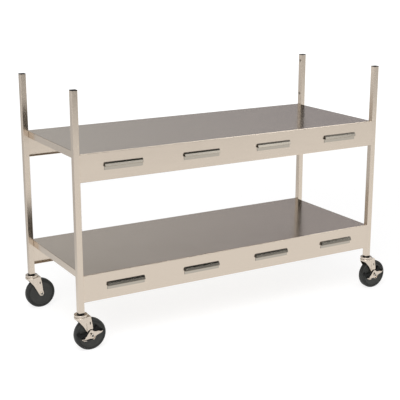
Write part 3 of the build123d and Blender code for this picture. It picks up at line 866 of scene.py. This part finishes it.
class CART_OT_welds(bpy.types.Operator):
    """Lay the weld beads inside the corners and the spot welds under the decks."""
    bl_idname = "cart.welds"
    bl_label = "Welds"

    def execute(self, context):
        sizes = context.scene.cart_sizes
        # The beads run up the shelves' corners from foot to below the deck, a little out of each corner.
        foot, below, out = 3 * MM, 4 * MM, 0.4 * MM
        beads = []
        for deck in DECKS:
            low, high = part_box(f"{deck}_shelf")
            for x, side_x in ((low.x, 1), (high.x, -1)):
                for y, side_y in ((low.y + SHEET, 1), (high.y - SHEET, -1)):
                    height = low.z + foot
                    while height < high.z - below:
                        beads.append((x + side_x * out, y + side_y * out, height))
                        height += sizes.weld_pitch
        piece = grow("weld_beads", points_mesh("bead_places", beads), beads_tree(), {
            "Bead Radius": 1.7 * MM, "Bead Segments": 8, "Bead Rings": 6, "Flatten": (1.0, 1.0, 0.85),
            "Size Spread": 0.18, "Seed": 11, "Finish": finish_of("tube"),
        })
        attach(piece, "frame")
        # Two rows on each stiffener, on its flanges: insets from the pair's outer edges, and the ends left.
        insets, start, end = (7.5 * MM, 52.5 * MM), 25 * MM, 20 * MM
        spots = []
        for deck in DECKS:
            low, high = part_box(f"{deck}_stiffeners")
            middle, half = (low.y + high.y) / 2, (high.y - low.y) / 2
            rows = [middle + side * (half - inset) for side in (-1, 1) for inset in insets]
            x = low.x + start
            while x < high.x - end:
                spots.extend((x, y, high.z - SHEET) for y in rows)
                x += sizes.spot_pitch
        piece = grow("spot_welds", points_mesh("spot_places", spots), beads_tree(), {
            "Bead Radius": 2.7 * MM, "Bead Segments": 14, "Bead Rings": 6, "Flatten": (1.0, 1.0, 0.09),
            "Size Spread": 0.12, "Seed": 5, "Finish": finish_of("galvanised"),
        })
        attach(piece, "frame")
        return {"FINISHED"}


class CART_OT_inserts(bpy.types.Operator):
    """Set the threaded inserts in the back posts."""
    bl_idname = "cart.inserts"
    bl_label = "Threaded inserts"

    def execute(self, context):
        bore, body, bulge, flange = 3.2 * MM, 4.9 * MM, 6.1 * MM, 6.5 * MM
        proud, length, depth, pitch = 0.8 * MM, 13.0 * MM, 0.5 * MM, 1.25 * MM
        # Drawn along Y with the flange's face at the far end, then faced along X by each point's turn.
        rings = [
            (-length, body - 0.4 * MM), (-length + 0.5 * MM, body), (-5.6 * MM, body), (-5.0 * MM, bulge),
            (-2.4 * MM, bulge), (-1.6 * MM, body), (0.0, body), (0.0, flange),
            (proud - 0.3 * MM, flange), (proud, flange - 0.5 * MM), (proud, bore + 0.7 * MM),
        ]
        along = proud - 0.5 * MM
        while along > -length + pitch:
            rings.append((along, threaded(bore - 0.45 * MM, depth, pitch, along)))
            along -= pitch / 5
        rings.append((-length, bore + 0.1 * MM))
        model = shown("insert_model", skin("insert_model", rings, 36, closed=True))
        low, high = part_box("rivet_nuts")
        places, turns = [], []
        # The box reaches from one insert's blind end to the other's, so each face lies in from it.
        for x, facing in ((low.x, 1), (high.x, -1)):
            face_x = x + facing * length
            places.extend((face_x, (low.y + high.y) / 2, z) for z in (low.z + flange, high.z - flange))
            turns.extend([(0.0, 0.0, -facing * math.pi / 2)] * 2)
        mesh = points_mesh("insert_places", places, turns)
        piece = grow("threaded_inserts", mesh, fixings_tree(), {
            "Fixing": model, "Spin": 0.0, "Seed": 3, "Finish": finish_of("insert"),
        })
        bpy.data.objects.remove(model)
        smooth(piece.data, 30)
        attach(piece, "frame")
        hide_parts("rivet_nuts")
        return {"FINISHED"}


class CART_OT_slip_rails(bpy.types.Operator):
    """Make the order-slip rails with their marbles and rivets."""
    bl_idname = "cart.slip_rails"
    bl_label = "Slip rails"

    def execute(self, context):
        sizes = context.scene.cart_sizes
        # Places from a rail's middle and below its top.
        marble_row, marble_drop = (-52 * MM, 0.0, 52 * MM), 12.125 * MM
        rivet_row, rivet_drop = (-70 * MM, 70 * MM), 6.4 * MM
        marbles, rivets = [], []
        for rail in RAILS:
            rounded_copy(rail, f"{rail}_extrusion", sizes.extruded_edge, finish_of("aluminium"),
                         "frame", least=CREASE)
            low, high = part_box(rail)
            middle = (low.x + high.x) / 2
            marble_y = high.y - RAIL_WALL - sizes.marble_radius
            marbles.extend((middle + offset, marble_y, high.z - marble_drop) for offset in marble_row)
            rivets.extend((middle + offset, high.y, high.z - rivet_drop) for offset in rivet_row)
        piece = grow("marbles", points_mesh("marble_places", marbles), beads_tree(), {
            "Bead Radius": sizes.marble_radius, "Bead Segments": 24, "Bead Rings": 14,
            "Flatten": (1.0, 1.0, 1.0), "Size Spread": 0.0, "Seed": 1, "Finish": finish_of("glass"),
        })
        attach(piece, "frame")
        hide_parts("slip_rail_marbles")
        # Head first, with the broken mandrel in it, then the shank and the swollen end behind the apron.
        face, head, shank = -2.5 * MM, 3.0 * MM, 1.6 * MM
        rings = [
            (face + 0.75 * MM, 0.0), (face + 0.7 * MM, 0.8 * MM), (face + 0.1 * MM, 0.95 * MM),
            (face, 1.3 * MM), (face + 0.12 * MM, 2.0 * MM), (face + 0.45 * MM, 2.7 * MM),
            (face + 0.8 * MM, head), (-RAIL_WALL, head), (-RAIL_WALL, shank), (SHEET, shank),
            (SHEET, 2.2 * MM), (2.2 * MM, 2.3 * MM), (3.4 * MM, 2.0 * MM), (4.0 * MM, 1.3 * MM),
            (4.2 * MM, 0.0),
        ]
        model = shown("rivet_model", skin("rivet_model", rings, 24))
        smooth(model.data, 40)
        mesh = points_mesh("rivet_places", rivets, [(0.0, 0.0, 0.0)] * len(rivets))
        piece = grow("blind_rivets", mesh, fixings_tree(), {
            "Fixing": model, "Spin": 2 * math.pi, "Seed": 9, "Finish": finish_of("rivet"),
        })
        bpy.data.objects.remove(model)
        smooth(piece.data, 40)
        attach(piece, "frame")
        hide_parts("slip_rail_rivets")
        return {"FINISHED"}


# Caster pieces


class CART_OT_swivels(bpy.types.Operator):
    """Finish the stems and sleeves, and set the bearing balls."""
    bl_idname = "cart.swivels"
    bl_label = "Swivels"

    def execute(self, context):
        sizes = context.scene.cart_sizes
        tree = ball_ring_tree()
        for corner in CORNERS:
            dress(f"{corner}_stem", finish_of("zinc"))
            # The sleeves' black is partly real rubber and partly painted shade in the gap under each post.
            dress(f"{corner}_expander", finish_of("sleeve_and_shade"))
            dress(f"{corner}_bushing", finish_of("zinc"))
            low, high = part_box(f"{corner}_balls")
            piece = grow(f"{corner}_bearing_balls", points_mesh("seat", []), tree, {
                "Ball Count": 22, "Ball Radius": sizes.ball_radius,
                "Ring Radius": (high.x - low.x) / 2 - sizes.ball_radius,
                "Centre": tuple((low + high) / 2), "Finish": finish_of("bearing"),
            })
            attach(piece, f"{corner}_swivel")
            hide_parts(f"{corner}_balls")
        return {"FINISHED"}


class CART_OT_forks(bpy.types.Operator):
    """Make the pressed forks."""
    bl_idname = "cart.forks"
    bl_label = "Forks"

    def execute(self, context):
        sizes = context.scene.cart_sizes
        for corner in CORNERS:
            rounded_copy(f"{corner}_fork", f"{corner}_pressed_fork", sizes.pressed_edge,
                         finish_of("zinc"), f"{corner}_swivel")
        return {"FINISHED"}


class CART_OT_brakes(bpy.types.Operator):
    """Make the brake levers and brake bars of the front casters, the bars black with painted shadow beside
    the fork legs and levers.
    """
    bl_idname = "cart.brakes"
    bl_label = "Brakes"

    def execute(self, context):
        sizes = context.scene.cart_sizes
        for corner in BRAKED:
            rounded_copy(f"{corner}_brake_lever", f"{corner}_pedal", sizes.pressed_edge,
                         finish_of("zinc"), f"{corner}_brake_lever")
            # The bar in black is partly the real enamelled bar and partly painted shadow beside the fork leg
            # and lever.
            rounded_copy(f"{corner}_brake_bar", f"{corner}_pad_bar", sizes.pressed_edge,
                         finish_of("enamel_and_shadow"), f"{corner}_brake_bar")
        return {"FINISHED"}


class CART_OT_axles(bpy.types.Operator):
    """Make the axle bolts with their lock nuts."""
    bl_idname = "cart.axles"
    bl_label = "Axle bolts"

    def execute(self, context):
        across, socket, shank, leg = 12.7 * MM, 6.0 * MM, 3.9 * MM, 22.0 * MM
        core, depth, pitch = 3.35 * MM, 0.55 * MM, 1.27 * MM
        hexagon, recess = six_sided(across), six_sided(socket)
        # The numbers of the socket's and the ring's finishes among the mesh's materials.
        black, nylon = 1, 2
        for corner in CORNERS:
            low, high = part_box(f"{corner}_axle")
            fork_low, fork_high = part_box(f"{corner}_fork")
            # The head and the nut bear on the fork's legs, at leg either side of the stem.
            stem_y = (fork_low.y + fork_high.y) / 2
            head, tip = low.y - stem_y, high.y - stem_y
            seat = head + 4.8 * MM
            rings = [
                # The head with its socket, black with painted shade.
                (head + 2.9 * MM, 0.0, black), (head + 2.9 * MM, recess, black),
                (head + 0.5 * MM, recess, black), (head, 4.1 * MM), (head, 0.46 * across),
                (head + 0.25 * MM, six_sided(across, 0.49 * across)),
                (head + 0.6 * MM, six_sided(across, 0.53 * across)), (head + 1.2 * MM, hexagon),
                (seat - 0.5 * MM, hexagon), (seat - 0.5 * MM, 0.46 * across), (seat, 0.46 * across),
                (seat, shank), (leg, shank),
                # The lock nut with its ring.
                (leg, 0.5 * across), (leg + 0.5 * MM, 0.5 * across), (leg + 0.5 * MM, hexagon),
                (leg + 4.0 * MM, hexagon), (leg + 4.6 * MM, six_sided(across, 0.5 * across)),
                (leg + 5.0 * MM, 0.47 * across), (leg + 6.2 * MM, 0.46 * across),
                (leg + 6.7 * MM, 0.4 * across, nylon), (leg + 6.6 * MM, 0.34 * across, nylon),
            ]
            along = leg + 6.4 * MM
            while along < tip - 0.8 * MM:
                rings.append((along, threaded(core, depth, pitch, along)))
                along += pitch / 6
            rings.extend([(tip, 2.9 * MM), (tip, 0.0)])
            mesh = skin(f"{corner}_axle_bolt", rings, 48)
            for title in ("bolt", "painted_socket_shade", "nylon"):
                mesh.materials.append(finish_of(title))
            smooth(mesh, 30)
            wheel = centre_of(f"{corner}_tyre")
            mesh.transform(Matrix.Translation((wheel.x, stem_y, wheel.z)))
            piece = shown(f"{corner}_axle_bolt", mesh)
            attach(piece, f"{corner}_swivel")
            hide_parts(f"{corner}_axle")
        return {"FINISHED"}


class CART_OT_wheels(bpy.types.Operator):
    """Make the wheel centres and their treads."""
    bl_idname = "cart.wheels"
    bl_label = "Wheels"

    def execute(self, context):
        sizes = context.scene.cart_sizes
        outer, half, core = sizes.wheel_radius, sizes.wheel_width / 2, sizes.core_radius
        shoulder, boss = sizes.shoulder, sizes.hub_width / 2
        # The mould's parting line stands up by flash, and the wheel centre turns with play on its tube.
        flash, play = 0.2 * MM, 0.05 * MM
        # A tread's side: its lip on the wheel centre, a groove, and then the shoulder up to the parting line.
        groove = -half + 0.45 * MM
        tread_side = [
            (-half + 0.8 * MM, core), (-half + 0.1 * MM, core + 0.6 * MM), (-half, core + 1.2 * MM),
            (-half, core + 3.0 * MM), (groove, core + 3.4 * MM), (groove, core + 4.0 * MM),
            (-half, core + 4.4 * MM),
            *arc(-half + shoulder, outer - flash - shoulder, shoulder, -90, 0, 8),
            (-0.9 * MM, outer - flash), (-0.5 * MM, outer),
        ]
        # A wheel centre's side: the boss, a dished web, and the rim that carries the tread.
        bore, rim = sizes.bushing_radius + play, -half + 0.5 * MM
        web = rim + 0.8 * MM
        hub_side = [
            (-boss + 0.5 * MM, bore), (-boss, bore + 0.5 * MM), (-boss, 14.2 * MM),
            (-boss + 0.8 * MM, 15.0 * MM), (rim - 0.4 * MM, 15.0 * MM), (rim + 0.3 * MM, 15.6 * MM),
            (rim + 0.7 * MM, 17.0 * MM), (web, 20.0 * MM), (web, 43.0 * MM), (rim + 0.6 * MM, 45.0 * MM),
            (rim, 46.2 * MM), (rim, core - 0.9 * MM), (web, core - 0.05 * MM),
        ]
        for corner in CORNERS:
            wheel = centre_of(f"{corner}_tyre")
            for title, side, finish, slot, node in (
                ("tread", tread_side, "tread", "tread_rubber", "tyre"),
                ("wheel_centre", hub_side, "core", "wheel_core", "hub"),
            ):
                mesh = skin(f"{corner}_{title}", both_sides(side), 96, closed=True)
                mesh.materials.append(finish_of(finish))
                smooth(mesh, 34)
                mesh.transform(Matrix.Translation(wheel))
                piece = shown(f"{corner}_{title}", mesh)
                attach(piece, f"{corner}_wheel")
                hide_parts(f"{corner}_{node}")
        return {"FINISHED"}


OPERATORS = (
    CART_OT_stage,
    CART_OT_frame,
    CART_OT_welds,
    CART_OT_inserts,
    CART_OT_slip_rails,
    CART_OT_swivels,
    CART_OT_forks,
    CART_OT_brakes,
    CART_OT_axles,
    CART_OT_wheels,
)


class CART_PT_panel(bpy.types.Panel):
    """Lists the cart's operators, sizes and colours."""
    bl_idname = "CART_PT_panel"
    bl_label = "Breakfast cart"
    bl_space_type = "VIEW_3D"
    bl_region_type = "UI"
    bl_category = "Cart"

    def draw(self, context):
        for operator in OPERATORS:
            self.layout.operator(operator.bl_idname)
        for group in (context.scene.cart_sizes, context.scene.cart_colours):
            box = self.layout.box()
            for title in group.__annotations__:
                box.prop(group, title)


def register():
    for group in (CartSizes, CartColours, *OPERATORS, CART_PT_panel):
        bpy.utils.register_class(group)
    bpy.types.Scene.cart_sizes = bpy.props.PointerProperty(type=CartSizes)
    bpy.types.Scene.cart_colours = bpy.props.PointerProperty(type=CartColours)


def unregister():
    del bpy.types.Scene.cart_colours
    del bpy.types.Scene.cart_sizes
    for group in (CART_PT_panel, *reversed(OPERATORS), CartColours, CartSizes):
        bpy.utils.unregister_class(group)


def main():
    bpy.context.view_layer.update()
    register()
    bpy.ops.cart.stage()
    bpy.ops.cart.frame()
    bpy.ops.cart.welds()
    bpy.ops.cart.inserts()
    bpy.ops.cart.slip_rails()
    bpy.ops.cart.swivels()
    bpy.ops.cart.forks()
    bpy.ops.cart.brakes()
    bpy.ops.cart.axles()
    bpy.ops.cart.wheels()


if __name__ == "__main__":
    main()
